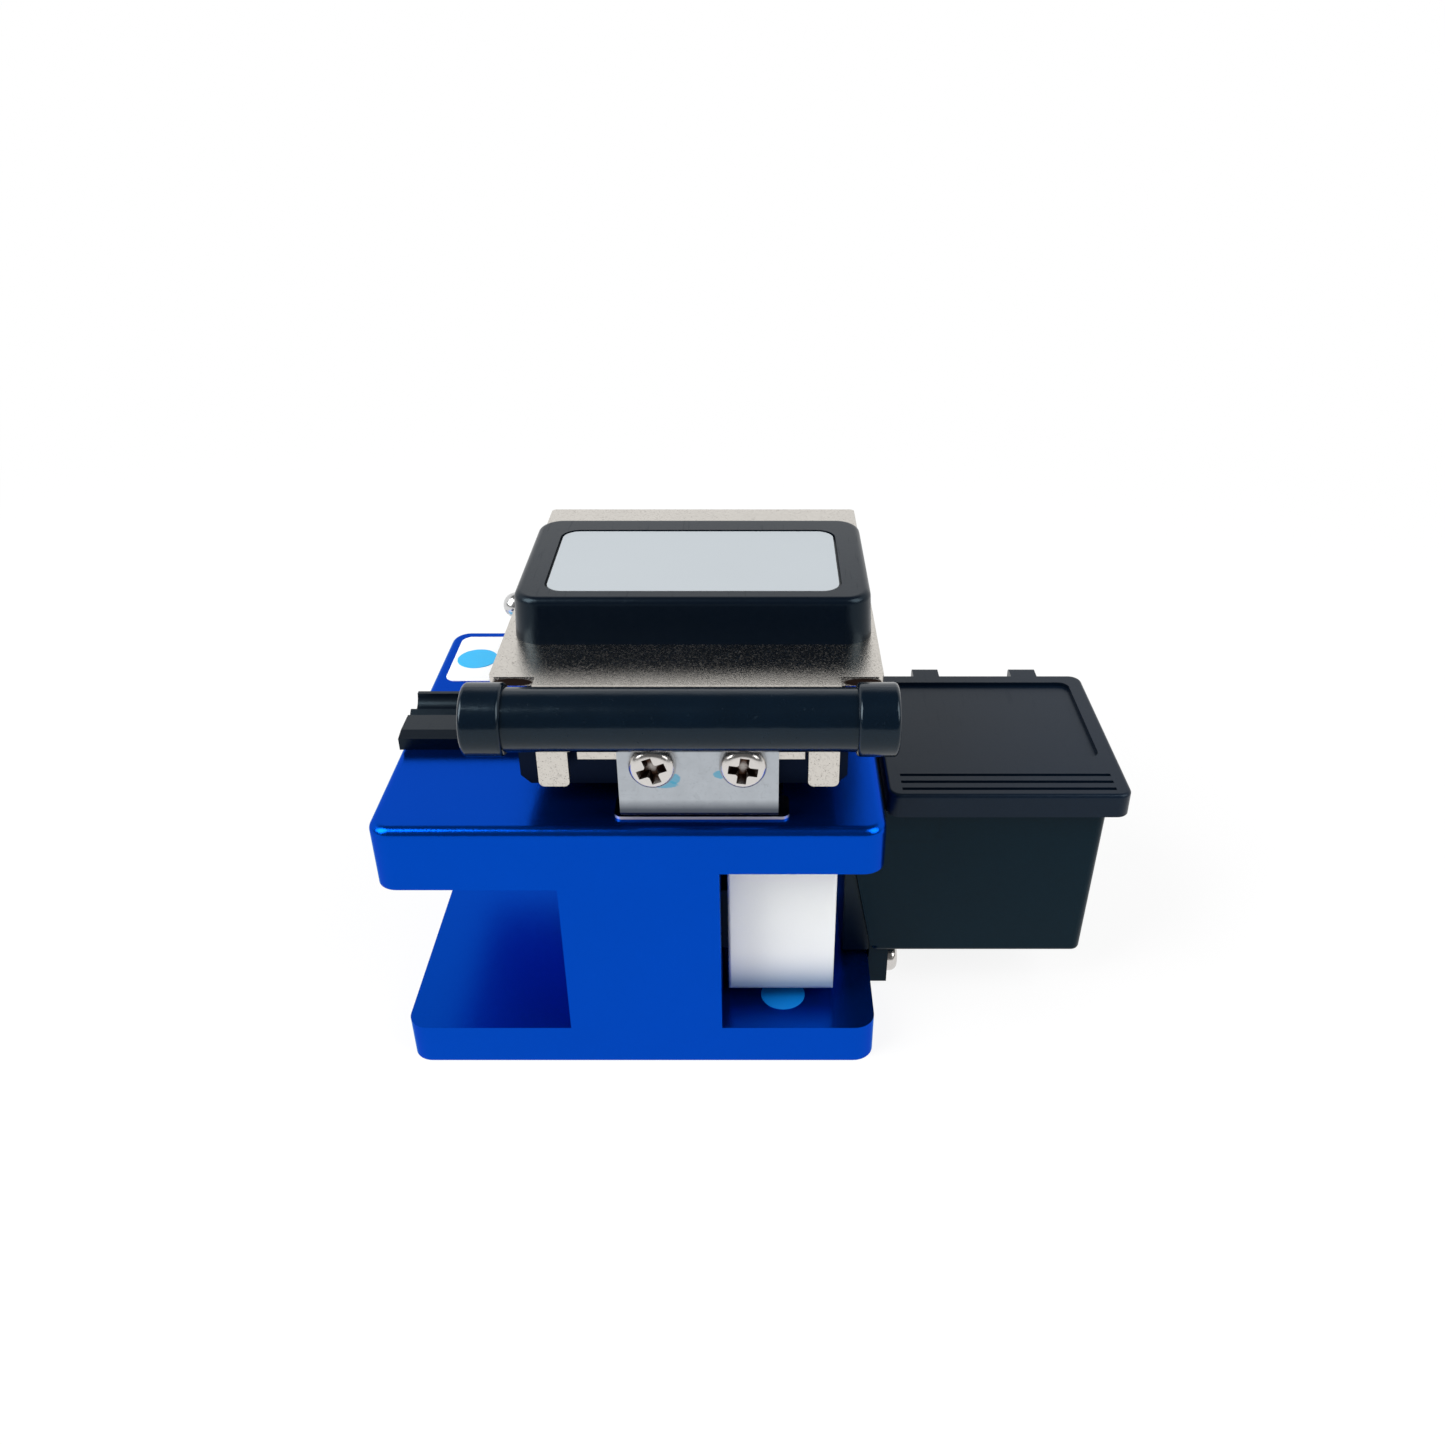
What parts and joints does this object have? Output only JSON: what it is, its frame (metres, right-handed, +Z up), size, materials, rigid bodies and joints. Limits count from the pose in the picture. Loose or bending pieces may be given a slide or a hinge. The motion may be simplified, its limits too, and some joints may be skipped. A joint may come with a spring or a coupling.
{
  "type": "fibre cleaver",
  "caption": "Bench fibre cleaver: C-shaped frame with a sliding round blade, a magnetic clamp arm, a sprung press lever with a handle bar, and a lidded off-cut box.",
  "frame": {"origin": "on the frame's flat underside, 26.6 mm behind its front and 31.5 mm left of its right side, which is within 0.4 mm of its middle", "axes": "+Z up, +X towards the off-cut box on the user's right, -Y towards the user, who faces the handle bar"},
  "size_m": [0.0968, 0.066, 0.0623],
  "materials": {
    "blue_anodised": "satin bead-blasted blue anodised aluminium",
    "dark_anodised": "satin black anodised aluminium",
    "silver_anodised": "bead-blasted clear anodised aluminium",
    "nickel_sheet": "satin nickel-plated sheet steel with a fine speckle",
    "zinc_sheet": "zinc-plated sheet steel",
    "polished_steel": "ground steel",
    "screw_steel": "bright nickel-plated steel",
    "spring_steel": "drawn spring wire",
    "blade_steel": "lapped tungsten carbide",
    "magnet_nickel": "nickel-plated magnet",
    "label_metal": "fine satin aluminium label, bare",
    "black_moulding": "fine-grained black moulding",
    "black_plastic": "satin black plastic",
    "glossy_sleeve": "glossy black shrunk-on sleeve",
    "pad_rubber": "hard black rubber"
  },
  "bodies": {
    "frame": {"body_frame": "blue_anodised", "hinge_ear_left": "dark_anodised", "hinge_ear_right": "dark_anodised", "hinge_screws": "screw_steel", "hinge_rod": "polished_steel", "keeper_plate": "zinc_sheet", "keeper_magnets": "magnet_nickel", "lower_pad_seats": "polished_steel", "lower_clamp_pads": "pad_rubber", "fibre_adapter": "black_moulding", "adapter_screws": "screw_steel", "slider_rail": "polished_steel", "rail_screws": "screw_steel", "rail_stop_pins": "polished_steel", "collector_box": "black_plastic", "collector_screws": "screw_steel", "lid_pin": "polished_steel"},
    "clamp_lid": {"clamp_arm": "dark_anodised", "upper_clamp_pads": "pad_rubber", "catch_bracket": "zinc_sheet", "catch_screws": "screw_steel"},
    "press_lever": {"lever_plate": "nickel_sheet", "press_pad": "black_moulding", "pad_label": "label_metal", "pad_screws": "screw_steel", "handle_rod": "polished_steel", "handle_sleeve": "glossy_sleeve", "handle_cap_left": "glossy_sleeve", "handle_cap_right": "glossy_sleeve", "handle_screws": "screw_steel", "anvil_holder": "polished_steel", "anvil": "pad_rubber", "anvil_screws": "screw_steel", "lever_springs": "spring_steel"},
    "blade_slider": {"slider_block": "silver_anodised", "slider_carriage": "dark_anodised", "blade_holder": "polished_steel", "carriage_screws": "screw_steel", "blade_screw": "screw_steel"},
    "blade_wheel": {"blade": "blade_steel"},
    "box_lid": {"collector_lid": "black_plastic"}
  },
  "joints": [
    {"name": "clamp_hinge", "type": "hinge", "parent": "frame", "child": "clamp_lid", "pos_m": [0.00718, 0.0216, 0.0458], "axis": [-1, 0, 0], "range_deg": [0, 85]},
    {"name": "press", "type": "hinge", "parent": "clamp_lid", "child": "press_lever", "pos_m": [0.00718, 0.0216, 0.0458], "axis": [1, 0, 0], "range_deg": [0, 1.3], "stiffness_Nm_per_rad": 2, "springref_deg": -4.58, "deforming": ["lever_springs"]},
    {"name": "slider_slide", "type": "slide", "parent": "frame", "child": "blade_slider", "axis": [0, 1, 0], "range_m": [0, 0.0215]},
    {"name": "blade_turn", "type": "hinge", "parent": "blade_slider", "child": "blade_wheel", "pos_m": [0.01683, -0.0116, 0.0322], "axis": [1, 0, 0], "continuous": true},
    {"name": "box_lid_hinge", "type": "hinge", "parent": "frame", "child": "box_lid", "pos_m": [0.04875, 0.0184, 0.0336], "axis": [-1, 0, 0], "range_deg": [0, 100]}
  ]
}
